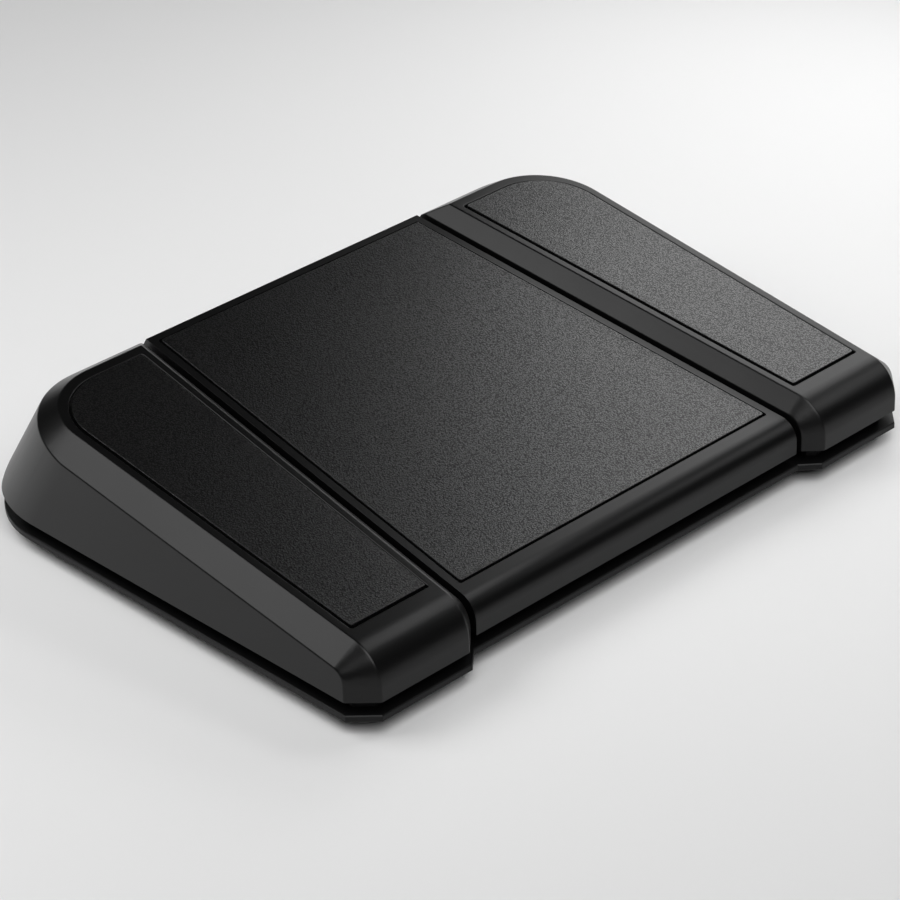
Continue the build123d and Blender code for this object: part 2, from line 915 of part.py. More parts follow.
front_rib_y = spring_y + spring_radius + spring_wire + floor_rib_gap
back_rib_y = switch_y + switch_length / 2 + floor_rib_gap
side_rib_x = side_place(switch_y, side_rib_share)
with BuildPart() as floor_ribs:
    with BuildSketch(Plane.XY.offset(frame_floor)):
        add(tray_outlines(tray_wall / 2))
    extrude(amount=floor_rib_height)
    with BuildSketch(Plane.XY.offset(frame_floor)):
        with Locations((0, front_rib_y), (0, back_rib_y)):
            Rectangle(width, rib_thickness)
        with Locations((-side_rib_x, front_rib_y), (side_rib_x, front_rib_y)):
            Rectangle(rib_thickness, back_rib_y - front_rib_y, align=(Align.CENTER, Align.MIN))
    extrude(amount=floor_rib_height, mode=Mode.INTERSECT)
    lead_ways = [(x, back_rib_y) for x in switch_places]
    lead_way = (lead_radius + lead_channel_gap) * 2
    blocks(lead_ways, frame_floor, lead_way, lead_way, floor_rib_height, Mode.SUBTRACT)

shroud_depth = tray_back_inset - shroud_back_inset + tray_wall
shroud_y = tray_back_y - tray_wall + shroud_depth / 2
shroud_outer = (shroud_half + shroud_wall) * 2
shroud_top = port_height + shroud_low + shroud_wall
with BuildPart() as shroud:
    blocks([(0, shroud_y)], plate_top, shroud_outer, shroud_depth, shroud_top - plate_top)
    fillet(shroud.edges().filter_by(Axis.Y).group_by(Axis.Z)[-1], shroud_wall)
    mouth = shroud.faces().sort_by(Axis.Y)[-1]
    chamfer(mouth.edges().group_by(Axis.Z)[-1], plate_edge)

beam_y = front_y + depth * beam_share
with BuildPart() as frame:
    with BuildSketch(Plane.XY.offset(plate_top)):
        add(tray_outlines(0))
        with Locations((0, beam_y)):
            beam_half = half_width(beam_y) + tray_clear + tray_wall
            Rectangle(beam_half * 2, tray_back_y - beam_y, align=(Align.CENTER, Align.MIN))
    extrude(amount=floor_thickness)
    with BuildSketch(Plane.XY.offset(frame_floor)):
        add(tray_outlines(0))
        add(tray_outlines(tray_wall), mode=Mode.SUBTRACT)
    extrude(amount=tray_height - floor_thickness)
    add(floor_ribs.part)
    with Locations(*[(x, 0, 0) for x, y in hinge_places]):
        add(lug.part)
    add(shroud.part)
    pillars(base_screws, frame_floor, boss_radius, boss_height)
    pillars(board_holes, frame_floor, standoff_radius, board_lift)
    pillars(spring_places, frame_floor, spring_peg_radius, spring_peg_height)
    blocks(bracket_places, frame_floor, bracket_width, bracket_length, bracket_height)
    blocks(saddle_places, frame_floor, saddle_half * 2, saddle_length, saddle_height)
    gate_height = stop_bar_low + stop_bar_height - frame_floor
    blocks(stop_places, frame_floor, stop_bar_half * 2, stop_bar_depth, gate_height)
    gate = (stop_bar_half - stop_post) * 2
    blocks(stop_places, frame_floor, gate, stop_bar_depth, stop_bar_low - frame_floor, Mode.SUBTRACT)
    window = (hook_half + stop_window_gap) * 2
    window_length = stop_bar_depth + hook_gap + hook_thickness + stop_window_gap * 2
    window_y = stop_y + (hook_gap + hook_thickness) / 2
    window_places = [(x, window_y) for x, y in stop_places]
    blocks(window_places, plate_top, window, window_length, floor_thickness, Mode.SUBTRACT)
    bolt_starts = [(x - bracket_width, y, switch_hole_z) for x, _ in bracket_places for y in switch_hole_ys]
    rods(bolt_starts, small_screw_radius + thread_gap, bracket_width * 2, Mode.SUBTRACT)
    seat_starts = [(x - block_width, y, hinge_height) for x, y in hinge_places]
    rods(seat_starts, bush_seat, block_width * 2, Mode.SUBTRACT)
    stem_room = block_width + hole_gap
    blocks(hinge_places, plate_top, stem_room, bush_seat * 2, hinge_height - plate_top, Mode.SUBTRACT)
    foot_room = (block_foot_half + hole_gap) * 2
    blocks(hinge_places, plate_top, stem_room, foot_room, foot_top - plate_top, Mode.SUBTRACT)
    cap_hole_depth = small_screw_length + small_screw_head_height
    pillars(cap_screws, foot_low, small_screw_radius + thread_gap, cap_hole_depth, Mode.SUBTRACT)
    base_hole_depth = floor_thickness + boss_height
    pillars(base_screws, plate_top, base_screw_radius + thread_gap, base_hole_depth, Mode.SUBTRACT)
    board_hole_depth = floor_thickness + board_lift
    pillars(board_holes, plate_top, small_screw_radius + thread_gap, board_hole_depth, Mode.SUBTRACT)
    channel_places = [(side * (lead_dip_outer + lead_rise_outer) / 2, channel_y) for side in (-1, 1)]
    channel_length = lead_dip_outer - lead_rise_outer + overrun * 2
    blocks(channel_places, plate_top, channel_length, lead_way, tray_height, Mode.SUBTRACT)
    saddle_way = (lead_radius + running_gap) * 2
    blocks(saddle_places, frame_floor, saddle_way, saddle_length, saddle_height, Mode.SUBTRACT)
    recess_place = [(0, tray_back_y + depth / 2)]
    blocks(recess_place, port_height - shroud_low, shroud_half * 2, depth, shroud_low * 2, Mode.SUBTRACT)
    port_width = socket_width + port_gap * 2
    port_room = socket_height + port_gap * 2
    blocks([(0, tray_back_y)], board_top - port_gap, port_width, tray_wall * 3, port_room, Mode.SUBTRACT)
save(frame.part, "chassis")

# Bearing caps and flanged bushes that carry the three hinge shafts
with BuildPart() as caps:
    with BuildSketch(Plane.YZ.offset(-block_width / 2)):
        with Locations((hinge_y, foot_low)):
            Rectangle(block_foot_half * 2, block_foot_height, align=(Align.CENTER, Align.MIN))
            Rectangle(bush_radius * 2, hinge_height - foot_low, align=(Align.CENTER, Align.MIN))
        with Locations((hinge_y, hinge_height)):
            Circle(bush_seat, mode=Mode.SUBTRACT)
    extrude(amount=block_width)
    ends = [(0, hinge_y - cap_screw_reach), (0, hinge_y + cap_screw_reach)]
    pillars(ends, foot_low, small_screw_radius + hole_gap / 2, block_foot_height, Mode.SUBTRACT)
    pillars(ends, foot_low, small_screw_head + running_gap * 2, small_screw_head_height, Mode.SUBTRACT)
with BuildPart() as cap_set:
    with Locations(*[(x, 0, 0) for x, y in hinge_places]):
        add(caps.part)
save(cap_set.part, "hinge_caps")

with BuildPart() as bushes:
    for x, y in hinge_places:
        pedal_x = side_hinge_x if abs(x) > center_block_offset else 0
        inward = x < pedal_x if x > 0 else x < -pedal_x
        flange_x = x + block_width / 2 if inward else x - block_width / 2 - bush_flange
        rods([(x - block_width / 2, y, hinge_height)], bush_radius, block_width)
        rods([(flange_x, y, hinge_height)], bush_flange_radius, bush_flange)
    bore_starts = [(x - block_width, y, hinge_height) for x, y in hinge_places]
    rods(bore_starts, shaft_radius + running_gap, block_width * 2, Mode.SUBTRACT)
save(bushes.part, "hinge_bushes")

# Hinge shafts with a groove near each end, and the clips that sit in the grooves
shaft_sets = [
    ("left", -side_hinge_x, side_block_offset),
    ("center", 0, center_block_offset),
    ("right", side_hinge_x, side_block_offset),
]
for name, middle, offset in shaft_sets:
    groove_from = offset + block_width / 2 + clip_gap
    shaft_half = groove_from + clip_thickness + shaft_tail
    clip_starts = [middle - groove_from - clip_thickness, middle + groove_from]
    with BuildPart() as shaft:
        rods([(middle - shaft_half, hinge_y, hinge_height)], shaft_radius, shaft_half * 2)
        chamfer(shaft.faces().filter_by(Axis.X).edges(), groove_depth / 2)
        for start in clip_starts:
            with BuildSketch(Plane.YZ.offset(start)):
                with Locations((hinge_y, hinge_height)):
                    Circle(shaft_radius + groove_depth)
                    Circle(shaft_radius - groove_depth, mode=Mode.SUBTRACT)
            extrude(amount=clip_thickness, mode=Mode.SUBTRACT)
    save(shaft.part, f"{name}_hinge_shaft")
    with BuildPart() as clips:
        for start in clip_starts:
            with BuildSketch(Plane.YZ.offset(start + running_gap)):
                with Locations((hinge_y, hinge_height)):
                    Circle(shaft_radius + clip_reach)
                    Circle(shaft_radius - groove_depth, mode=Mode.SUBTRACT)
                    Rectangle(clip_mouth, depth, align=(Align.CENTER, Align.MAX), mode=Mode.SUBTRACT)
            extrude(amount=clip_thickness - running_gap * 2)
    save(clips.part, f"{name}_shaft_clips")

# Compression springs, all alike, standing on the frame
with BuildPart() as spring:
    coil_low = frame_floor + spring_wire
    coil_height = spring_top - frame_floor - spring_wire * 2
    with BuildLine():
        Helix(coil_height / spring_turns, coil_height, spring_radius, center=(0, spring_y, coil_low))
    with BuildSketch(Plane(origin=(spring_radius, spring_y, coil_low), x_dir=(1, 0, 0), z_dir=(0, 1, 0))):
        Circle(spring_wire)
    sweep(is_frenet=True)
spring_sets = [
    ("left_spring", [-side_spring_x]),
    ("center_springs", [-center_spring_x, center_spring_x]),
    ("right_spring", [side_spring_x]),
]
for name, places in spring_sets:
    with BuildPart() as springs:
        with Locations(*[(x, 0, 0) for x in places]):
            add(spring.part)
    save(springs.part, name)

# Rubber stops: thin pads under the frame's bars and round buffers below the pedals' posts
with BuildPart() as stop_pads:
    stop_pad_low = stop_bar_low - stop_pad_height
    blocks(stop_places, stop_pad_low, stop_pad_half * 2, stop_bar_depth, stop_pad_height)
save(stop_pads.part, "upper_stop_pads")
with BuildPart() as buffers:
    pillars(buffer_places, frame_floor, buffer_radius, buffer_height)
    chamfer(buffers.faces().filter_by(Axis.Z).group_by(Axis.Z)[-1].edges(), sole_chamfer)
save(buffers.part, "lower_stop_buffers")

# Snap switches with a hinged lever and a plunger, one for each pedal
plunger_y = pivot_y - plunger_arm
strip_low = pivot_height - lever_thickness / 2
plunger_top = strip_low + plunger_arm * tan(radians(lever_rise)) - switch_clearance * 2
neck_width = plunger_width + switch_clearance * 2
neck_depth = (plunger_half + switch_clearance) * 2
flange_extra = plunger_flange_reach * 2
flange_low = switch_top - plunger_cap - switch_clearance - plunger_flange
lever_room = lever_half + switch_clearance
pin_half = lever_room + cheek_width
tags = [(0, switch_y + place * tag_spacing) for place in (-1, 0, 1)]
with BuildPart() as case:
    blocks([(0, switch_y)], switch_base, switch_width, switch_length, switch_height)
    fillet(case.edges().filter_by(Axis.X), cheek_width / 2)
    cheeks = [(lever_room + cheek_width / 2, pivot_y), (-lever_room - cheek_width / 2, pivot_y)]
    blocks(cheeks, switch_top - cheek_width, cheek_width, cheek_length, cheek_height + cheek_width)
    pin_hole = lever_pin_radius + switch_clearance
    rods([(-pin_half, pivot_y, pivot_height)], pin_hole, pin_half * 2, Mode.SUBTRACT)
    rods([(-lever_room, pivot_y, pivot_height)], lever_curl_radius + hole_gap, lever_room * 2, Mode.SUBTRACT)
    neck = [(0, plunger_y)]
    blocks(neck, switch_top - plunger_chamber, neck_width, neck_depth, plunger_chamber, Mode.SUBTRACT)
    chamber_low = switch_top - plunger_cap - plunger_chamber
    chamber_width = neck_width + flange_extra
    chamber_depth = neck_depth + flange_extra
    blocks(neck, chamber_low, chamber_width, chamber_depth, plunger_chamber, Mode.SUBTRACT)
    hole_starts = [(-switch_width, y, switch_hole_z) for y in switch_hole_ys]
    rods(hole_starts, switch_hole_radius, switch_width * 2, Mode.SUBTRACT)
    blocks(tags, switch_base - tag_length, tag_width, tag_thickness, tag_length + cheek_width)
with BuildPart() as lever:
    rods([(-lever_half, pivot_y, pivot_height)], lever_curl_radius, lever_half * 2)
    rods([(-pin_half, pivot_y, pivot_height)], lever_pin_radius, pin_half * 2)
    tilted = Plane(
        origin=(0, pivot_y, pivot_height),
        x_dir=(1, 0, 0),
        z_dir=(0, sin(radians(lever_rise)), cos(radians(lever_rise))),
    )
    with BuildSketch(tilted.offset(-lever_thickness / 2)):
        Rectangle(lever_half * 2, lever_length, align=(Align.CENTER, Align.MAX))
    extrude(amount=lever_thickness)
    upright = lever.edges().filter_by(lambda edge: abs(edge.length - lever_thickness) < seat_gap)
    fillet(upright.sort_by(Axis.Y)[:2], lever_half / 2)
with BuildPart() as plunger:
    flange_width = plunger_width + flange_extra - switch_clearance
    flange_depth = plunger_half * 2 + flange_extra - switch_clearance
    blocks(neck, flange_low, flange_width, flange_depth, plunger_flange)
    blocks(neck, flange_low, plunger_width, plunger_half * 2, plunger_top - flange_low)
    crown = plunger.edges().filter_by(Axis.X).group_by(Axis.Z)[-1]
    fillet(crown, plunger_half - switch_clearance)
for name, x in zip(["left", "center", "right"], switch_places):
    for piece, kind in ((case, "switch"), (lever, "switch_lever"), (plunger, "switch_plunger")):
        with BuildPart() as placed:
            with Locations((x, 0, 0)):
                add(piece.part)
        save(placed.part, f"{name}_{kind}")

# Circuit board with its socket, chip, small components and lead sockets
board_middle = (board_front_y + board_back_y) / 2
with BuildPart() as board:
    with BuildSketch(Plane.XY.offset(board_base)):
        with Locations((0, board_middle)):
            RectangleRounded(board_half * 2, board_back_y - board_front_y, board_corner)
        with Locations(*board_holes):
            Circle(small_screw_radius + hole_gap / 2, mode=Mode.SUBTRACT)
    extrude(amount=board_thickness)
save(board.part, "main_board")

socket_y = rear_y - socket_back_inset - socket_length
with BuildPart() as port:
    inner_width = socket_width - socket_wall * 2
    inner_height = socket_height - socket_wall * 2
    with BuildSketch(Plane.XZ.offset(-socket_y)):
        with Locations((0, port_height)):
            RectangleRounded(socket_width, socket_height, socket_height / 2 - running_gap)
    extrude(amount=-socket_length)
    with BuildSketch(Plane.XZ.offset(-socket_y - socket_wall)):
        with Locations((0, port_height)):
            RectangleRounded(inner_width, inner_height, inner_height / 2 - running_gap)
    extrude(amount=-socket_length, mode=Mode.SUBTRACT)
    tongue_length = socket_length - socket_wall * 2
    tongue_place = [(0, socket_y + socket_length / 2)]
    blocks(tongue_place, port_height - tongue_thickness / 2, tongue_width, tongue_length, tongue_thickness)
save(port.part, "usb_socket")

chip_y = front_y + depth * chip_run_share
with BuildPart() as chip:
    blocks([(0, chip_y)], board_top, chip_size, chip_size, chip_height)
    chamfer(chip.faces().sort_by(Axis.Z)[-1].edges(), chip_height / 8)
save(chip.part, "controller_chip")
with BuildPart() as components:
    column_x = (chip_size + part_pitch) / 2
    rows = [chip_y + row * part_pitch for row in (-1, 0, 1)]
    blocks(both_sides([(column_x, y) for y in rows]), board_top, part_size, part_size / 2, part_height)
save(components.part, "board_components")
side_header_places = both_sides([(board_half - header_depth / 2, channel_y)])
center_header_place = [(0, board_front_y + header_depth / 2)]
with BuildPart() as headers:
    blocks(side_header_places, board_top, header_depth, header_width, header_height)
    blocks(center_header_place, board_top, header_width, header_depth, header_height)
save(headers.part, "lead_sockets")


# Leads from each switch along the floor to the board
def lead_along(points, bends):
    """A round lead through the points, with an arc of the given radius at each turn."""
    points = [Vector(*point) for point in points]
    with BuildPart() as lead:
        with BuildLine():
            last = points[0]
            for before, corner, after, bend in zip(points, points[1:], points[2:], bends):
                into = (corner - before).normalized()
                out = (after - corner).normalized()
                turn = radians(into.get_angle(out))
                cut = bend * tan(turn / 2)
                inward = (out - into).normalized()
                middle = corner + inward * (bend / cos(turn / 2) - bend)
                Line(last, corner - into * cut)
                ThreePointArc(corner - into * cut, middle, corner + out * cut)
                last = corner + out * cut
            Line(last, points[-1])
        with BuildSketch(Plane(origin=points[0], z_dir=points[1] - points[0])):
            Circle(lead_radius)
        sweep()
    return lead.part


side_bends = [lead_bend, lead_easy_bend, lead_easy_bend, lead_easy_bend, lead_easy_bend]
for name, side in (("left", -1), ("right", 1)):
    lead_points = [
        (side * side_switch_x, tag_back, lead_floor),
        (side * side_switch_x, channel_y, lead_floor),
        (side * lead_dip_outer, channel_y, lead_floor),
        (side * lead_dip_inner, channel_y, lead_low),
        (side * lead_rise_outer, channel_y, lead_low),
        (side * lead_rise_inner, channel_y, lead_height),
        (side * board_half, channel_y, lead_height),
    ]
    save(lead_along(lead_points, side_bends), f"{name}_switch_lead")
lead_points = [
    (0, tag_back, lead_floor),
    (0, tag_back + center_lead_room * lead_rise_share, lead_floor),
    (0, tag_back + center_lead_room * lead_rise_end_share, lead_height),
    (0, board_front_y, lead_height),
]
save(lead_along(lead_points, [lead_easy_bend, lead_easy_bend]), "center_switch_lead")

# Thin textured pads laid into the pedals
with BuildPart() as right_pad:
    extrude(side_pad_outline(pad_thickness + pad_sink, 0), amount=pad_thickness)
save(right_pad.part, "right_grip_pad")
with BuildPart() as left_pad:
    add(mirror(right_pad.part, about=Plane.YZ, mode=Mode.PRIVATE))
save(left_pad.part, "left_grip_pad")
with BuildPart() as center_pad:
    extrude(center_pad_outline(step + pad_thickness + pad_sink, 0), amount=pad_thickness)
save(center_pad.part, "center_grip_pad")
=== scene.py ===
from math import cos, radians, sin

import bmesh
import bpy
from mathutils import Matrix, Vector
from mathutils.bvhtree import BVHTree


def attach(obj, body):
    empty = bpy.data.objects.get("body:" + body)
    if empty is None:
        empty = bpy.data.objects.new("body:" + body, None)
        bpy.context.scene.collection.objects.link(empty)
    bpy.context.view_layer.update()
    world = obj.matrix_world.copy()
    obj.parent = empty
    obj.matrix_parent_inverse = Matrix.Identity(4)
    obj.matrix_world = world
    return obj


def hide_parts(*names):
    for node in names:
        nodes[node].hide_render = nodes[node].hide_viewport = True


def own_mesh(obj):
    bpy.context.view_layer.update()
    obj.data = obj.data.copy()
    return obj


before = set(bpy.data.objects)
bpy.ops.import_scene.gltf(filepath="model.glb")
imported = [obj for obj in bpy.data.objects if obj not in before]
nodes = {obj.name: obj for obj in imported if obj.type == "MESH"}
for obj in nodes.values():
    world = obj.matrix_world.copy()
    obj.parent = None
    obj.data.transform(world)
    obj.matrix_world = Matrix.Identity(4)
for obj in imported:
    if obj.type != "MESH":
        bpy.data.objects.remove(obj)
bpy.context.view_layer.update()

# Base plate
# It closes the body from below and shows all round it as a thin rim. It is steel sheet under a
# black powder coat with a slight orange peel, and is screwed up to the inner frame.


class Value:
    """A shader socket that adds, subtracts and multiplies like a number."""

    def __init__(self, tree, socket):
        self.tree = tree
        self.socket = socket

    def math(self, operation, first, second):
        return add_node(self.tree, "ShaderNodeMath", 0, {"operation": operation}, {0: first, 1: second})

    def __add__(self, other):
        return self.math("ADD", self, other)

    def __sub__(self, other):
        return self.math("SUBTRACT", self, other)

    def __rsub__(self, other):
        return self.math("SUBTRACT", other, self)

    def __mul__(self, other):
        return self.math("MULTIPLY", self, other)

    __radd__ = __add__
    __rmul__ = __mul__

    def band(self, low, high):
        """Rises from 0 to 1 as the value goes from low to high."""
        sockets = {"Value": self, "From Min": low, "From Max": high}
        return add_node(self.tree, "ShaderNodeMapRange", "Result", {}, sockets)


def add_node(tree, kind, output, settings, sockets):
    """Adds a node, sets its properties and then its sockets, and returns one of its outputs."""
    node = tree.nodes.new(kind)
    for name, setting in settings.items():
        setattr(node, name, setting)
    for name, value in sockets.items():
        if isinstance(value, Value):
            tree.links.new(value.socket, node.inputs[name])
        else:
            node.inputs[name].default_value = value
    return Value(tree, node.outputs[output])


class Finish:
    """One material: a Principled shader and what varies over its surface, scales in metres."""

    def __init__(self, name, color, roughness, metallic=0.0, coat=0.0, coat_roughness=0.03, specular=0.5):
        self.material = bpy.data.materials.new(name)
        self.material.use_nodes = True
        self.tree = self.material.node_tree
        self.shader = self.tree.nodes["Principled BSDF"]
        constants = {
            "Base Color": (*color, 1),
            "Roughness": roughness,
            "Metallic": metallic,
            "Coat Weight": coat,
            "Coat Roughness": coat_roughness,
            "Specular IOR Level": specular,
        }
        for socket, value in constants.items():
            self.shader.inputs[socket].default_value = value
        self.color = color
        self.roughness = roughness
        self.place = add_node(self.tree, "ShaderNodeTexCoord", "Object", {}, {})

    def noise(self, scale, detail=3.0, roughness=0.5):
        """Even noise, with scale in repeats per metre."""
        sockets = {"Vector": self.place, "Scale": scale, "Detail": detail, "Roughness": roughness}
        return add_node(self.tree, "ShaderNodeTexNoise", "Fac", {}, sockets)

    def cells(self, scale):
        """Distance to the nearest of many scattered points, with scale in points per metre."""
        sockets = {"Vector": self.place, "Scale": scale}
        return add_node(self.tree, "ShaderNodeTexVoronoi", "Distance", {"feature": "F1"}, sockets)

    def stretched(self, along, scale):
        """Noise drawn out along one axis, as brushing or drawing leaves it."""
        mapped = {"Vector": self.place, "Scale": along}
        drawn = add_node(self.tree, "ShaderNodeMapping", "Vector", {}, mapped)
        sockets = {"Vector": drawn, "Scale": scale, "Detail": 4.0}
        return add_node(self.tree, "ShaderNodeTexNoise", "Fac", {}, sockets)

    def feed(self, socket, value):
        self.tree.links.new(value.socket, self.shader.inputs[socket])

    def tint(self, fac, low, high):
        """Base colour between two shades of the finish's own colour."""
        shades = [(*[channel * share for channel in self.color], 1) for share in (low, high)]
        sockets = {"Factor": fac, "A": shades[0], "B": shades[1]}
        mixed = add_node(self.tree, "ShaderNodeMix", "Result", {"data_type": "RGBA"}, sockets)
        self.feed("Base Color", mixed)

    def rough(self, fac, spread):
        """Roughness that varies about the finish's own, by spread in all."""
        self.feed("Roughness", (fac - 0.5) * spread + self.roughness)

    def relief(self, height, distance, strength):
        """Bump from a height, on top of any earlier one."""
        sockets = {"Height": height, "Distance": distance, "Strength": strength}
        normal = self.shader.inputs["Normal"]
        if normal.is_linked:
            sockets["Normal"] = Value(self.tree, normal.links[0].from_socket)
        self.feed("Normal", add_node(self.tree, "ShaderNodeBump", "Normal", {}, sockets))


def dress(names, finish):
    """Puts a finish on CAD nodes."""
    for name in names:
        piece = nodes[name]
        piece.data.materials.clear()
        piece.data.materials.append(finish.material)


plate = Finish("powder_coat", color=(0.003, 0.003, 0.0032), roughness=0.45, specular=0.22)
plate_peel = plate.noise(scale=900, detail=3.0, roughness=0.5)
plate_marks = plate.noise(scale=14, detail=6.0, roughness=0.6)
plate.tint(plate_marks, low=0.85, high=1.2)
plate.rough(plate_marks, spread=0.12)
plate.relief(plate_peel, distance=0.00006, strength=0.7)
dress(["base_plate"], plate)

# Feet, stop pads and buffers
# Four feet stand under the plate, and pads and buffers end the pedals' travel above and below.
# All are moulded from black rubber that holds a little dust, and are pushed or stuck in place.
rubber = Finish("rubber", color=(0.014, 0.014, 0.0145), roughness=0.78)
rubber_dust = rubber.noise(scale=120, detail=6.0, roughness=0.65)
rubber.tint(rubber_dust.band(0.45, 0.75), low=0.9, high=2.2)
rubber.relief(rubber.noise(scale=2200, detail=2.0), distance=0.00005, strength=0.7)
dress(["rubber_feet", "upper_stop_pads", "lower_stop_buffers"], rubber)

# Inner frame and bearing caps
# The frame carries the hinges, springs, switches and board, and the caps hold the hinge bushes
# down in it. Both are moulded from black glass-filled plastic, whose fibres show as flow lines.
inner = Finish("frame_moulding", color=(0.008, 0.008, 0.0085), roughness=0.52, specular=0.35)
inner_flow = inner.stretched(along=(1, 6, 6), scale=60)
inner.tint(inner_flow, low=0.8, high=1.25)
inner.rough(inner_flow, spread=0.16)
inner.relief(inner.noise(scale=1800, detail=2.0), distance=0.00004, strength=0.6)
dress(["chassis", "hinge_caps"], inner)

# Hinge bushes and lead sockets
# The flanged bushes are the pedals' bearings, and the sockets take the leads on the board. Both
# are moulded from natural plastic, pale and slightly waxy, with no colour added.
natural = Finish("natural_plastic", color=(0.72, 0.7, 0.63), roughness=0.38)
natural_cloud = natural.noise(scale=90, detail=3.0, roughness=0.5)
natural.tint(natural_cloud, low=0.93, high=1.03)
natural.rough(natural_cloud, spread=0.1)
dress(["hinge_bushes", "lead_sockets"], natural)

# Hinge shafts, retaining clips and switch levers
# The shafts are ground from drawn steel bar, and the clips and levers are stamped from strip.
# The drawing leaves fine lines along them.
bright = Finish("drawn_steel", color=(0.62, 0.62, 0.63), roughness=0.24, metallic=1.0)
bright_lines = bright.stretched(along=(4, 60, 60), scale=40)
bright.tint(bright_lines, low=0.85, high=1.08)
bright.rough(bright_lines, spread=0.16)
for side in ("left", "center", "right"):
    steel_pieces = [f"{side}_{piece}" for piece in ("hinge_shaft", "shaft_clips", "switch_lever")]
    dress(steel_pieces, bright)

# Return springs
# Each is wound from drawn steel wire and stands on the frame under its pedal. It rides with the base and
# keeps its length when the pedal goes down.
weld_gap = 0.000001
flat_angle = radians(0.5)
sharp_angle = radians(26)


def merged(name):
    """A node's own mesh with its loose triangles joined up."""
    shape = bmesh.new()
    shape.from_mesh(nodes[name].data)
    bmesh.ops.remove_doubles(shape, verts=shape.verts, dist=weld_gap)
    bmesh.ops.dissolve_limit(shape, angle_limit=flat_angle, verts=shape.verts, edges=shape.edges)
    bmesh.ops.recalc_face_normals(shape, faces=shape.faces)
    return shape


def stand_in(shape, name, suffix, body, finish):
    """Makes a piece of a mesh, smooth but for its sharp edges, that is shown for a node."""
    for face in shape.faces:
        face.smooth = True
    for edge in shape.edges:
        edge.smooth = not edge.is_manifold or edge.calc_face_angle() < sharp_angle
    mesh = bpy.data.meshes.new(name + suffix)
    shape.to_mesh(mesh)
    shape.free()
    mesh.materials.append(finish.material)
    piece = bpy.data.objects.new(name + suffix, mesh)
    bpy.context.scene.collection.objects.link(piece)
    weighted = piece.modifiers.new("weighted", "WEIGHTED_NORMAL")
    weighted.keep_sharp = True
    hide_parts(name)
    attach(piece, body)
    return piece


for name, side in (("left_spring", "left"), ("center_springs", "center"), ("right_spring", "right")):
    wire = stand_in(merged(name), name, "_wire", "base", bright)
    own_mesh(wire)

# Snap switches
# One under each pedal's finger, screwed to the frame. The case is moulded from black plastic, and
# the plunger that the lever presses is a small glossy red moulding.
case = Finish("switch_case", color=(0.018, 0.018, 0.019), roughness=0.4)
case_cloud = case.noise(scale=400, detail=3.0, roughness=0.5)
case.rough(case_cloud, spread=0.12)
case.relief(case_cloud, distance=0.00003, strength=0.5)
dress([f"{side}_switch" for side in ("left", "center", "right")], case)

button = Finish("switch_plunger", color=(0.42, 0.035, 0.03), roughness=0.3, coat=0.2)
button_cloud = button.noise(scale=300, detail=2.0, roughness=0.5)
button.rough(button_cloud, spread=0.08)
dress([f"{side}_switch_plunger" for side in ("left", "center", "right")], button)

# Circuit board and what is soldered on it
# Glass-fibre board under a green mask, through which its copper tracks show as low ridges. It
# carries a moulded chip, small ceramic parts, and the usb socket in its folded plated shell.
mask = Finish("solder_mask", color=(0.008, 0.09, 0.035), roughness=0.3, coat=0.3)
mask_tracks = mask.stretched(along=(30, 4, 4), scale=12).band(0.5, 0.53)
mask.tint(mask_tracks, low=0.7, high=1.35)
mask.relief(mask_tracks, distance=0.00003, strength=0.5)
dress(["main_board"], mask)

chip = Finish("chip_body", color=(0.015, 0.015, 0.016), roughness=0.45)
chip.relief(chip.noise(scale=2500, detail=2.0), distance=0.00003, strength=0.6)
dress(["controller_chip"], chip)

ceramic = Finish("ceramic", color=(0.3, 0.18, 0.1), roughness=0.4)
ceramic.relief(ceramic.noise(scale=2500, detail=2.0), distance=0.00003, strength=0.4)
dress(["board_components"], ceramic)

tin = Finish("plated_shell", color=(0.68, 0.68, 0.69), roughness=0.22, metallic=1.0)
tin_lines = tin.stretched(along=(40, 4, 4), scale=30)
tin.rough(tin_lines, spread=0.14)
dress(["usb_socket"], tin)

# Switch leads
# One runs from each switch to its socket on the board. The wires lie in a soft black sheath,
# extruded round them and a little uneven to the touch.
sheath = Finish("lead_sheath", color=(0.02, 0.02, 0.021), roughness=0.46)
sheath_cloud = sheath.noise(scale=260, detail=4.0, roughness=0.55)
sheath.rough(sheath_cloud, spread=0.14)
sheath.relief(sheath_cloud, distance=0.00004, strength=0.5)
dress([f"{side}_switch_lead" for side in ("left", "center", "right")], sheath)

# Screws
# They hold the bearing caps, switches, board and base plate. All are cold-headed from steel wire
# and zinc plated, which leaves a faint cloudy bloom.
zinc = Finish("zinc_plate", color=(0.55, 0.555, 0.56), roughness=0.32, metallic=1.0)
zinc_cloud = zinc.noise(scale=700, detail=4.0, roughness=0.6)
zinc.tint(zinc_cloud, low=0.8, high=1.1)
zinc.rough(zinc_cloud, spread=0.2)
dress(["base_screws", "hinge_cap_screws", "switch_screws", "board_screws"], zinc)

# Pedal shells
# Three mouldings in black plastic with a fine spark-eroded surface and faint handling marks. The
# mould leaves their outer edges slightly round, which the solids leave sharp.
clear_distance = 0.0002
corner_angle = radians(18)
lowest_outlook = -0.3


def span(shape):
    """The middle of a mesh and half its size along each axis."""
    axes = [[vertex.co[axis] for vertex in shape.verts] for axis in range(3)]
    middle = Vector([(min(places) + max(places)) / 2 for places in axes])
    return middle, [(max(places) - min(places)) / 2 for places in axes]


